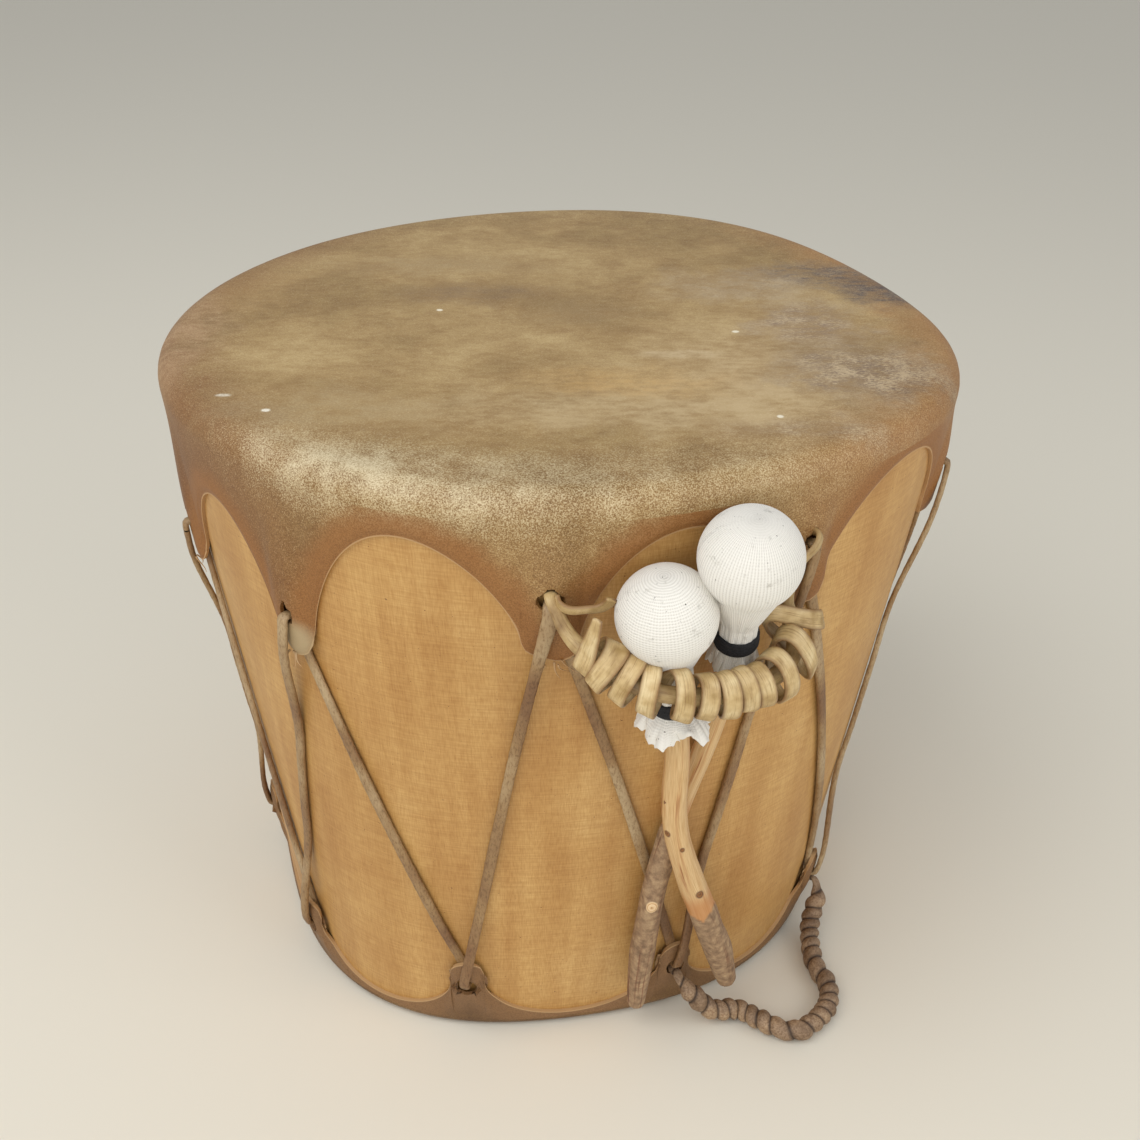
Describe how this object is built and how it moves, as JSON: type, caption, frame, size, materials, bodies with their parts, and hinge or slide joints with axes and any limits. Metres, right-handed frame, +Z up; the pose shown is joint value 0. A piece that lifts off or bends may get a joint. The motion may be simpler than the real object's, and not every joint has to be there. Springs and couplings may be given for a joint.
{
  "type": "powwow hand drum",
  "caption": "Tapered wooden drum with laced rawhide heads and rawhide handles, and padded beaters kept in the upper handle.",
  "frame": {"origin": "middle of the flat underside that the drum stands on", "axes": "+Z up along the drum, -Y towards the front with the beaters, +X to the right seen from the front"},
  "size_m": [0.3893, 0.4196, 0.332],
  "materials": {
    "shell_wood": "fine yellowish tan grain with a dull wax sheen",
    "upper_rawhide": "mottled olive tan rawhide, half dull, with a worn pale rim",
    "lower_rawhide": "brown rawhide, half dull",
    "lace_rawhide": "grainy grey tan rawhide, dull",
    "strip_rawhide": "olive tan rawhide, dull",
    "wrap_rawhide": "pale cream rawhide strip, half dull",
    "rope_rawhide": "dark wound rawhide, dull",
    "white_knit": "off-white ribbed cotton knit",
    "black_tape": "black cloth tape, dull",
    "stick_wood": "peeled branch with bark left on its lower end"
  },
  "bodies": {
    "root": {"drum_shell": "shell_wood", "upper_head": "upper_rawhide", "lower_head": "lower_rawhide", "lacing": "lace_rawhide", "upper_handle": "strip_rawhide", "upper_handle_wrap": "wrap_rawhide", "lower_handle": "rope_rawhide", "front_beater_head": "white_knit", "front_beater_tie": "black_tape", "front_beater_stick": "stick_wood", "back_beater_head": "white_knit", "back_beater_tie": "black_tape", "back_beater_stick": "stick_wood"}
  },
  "joints": []
}
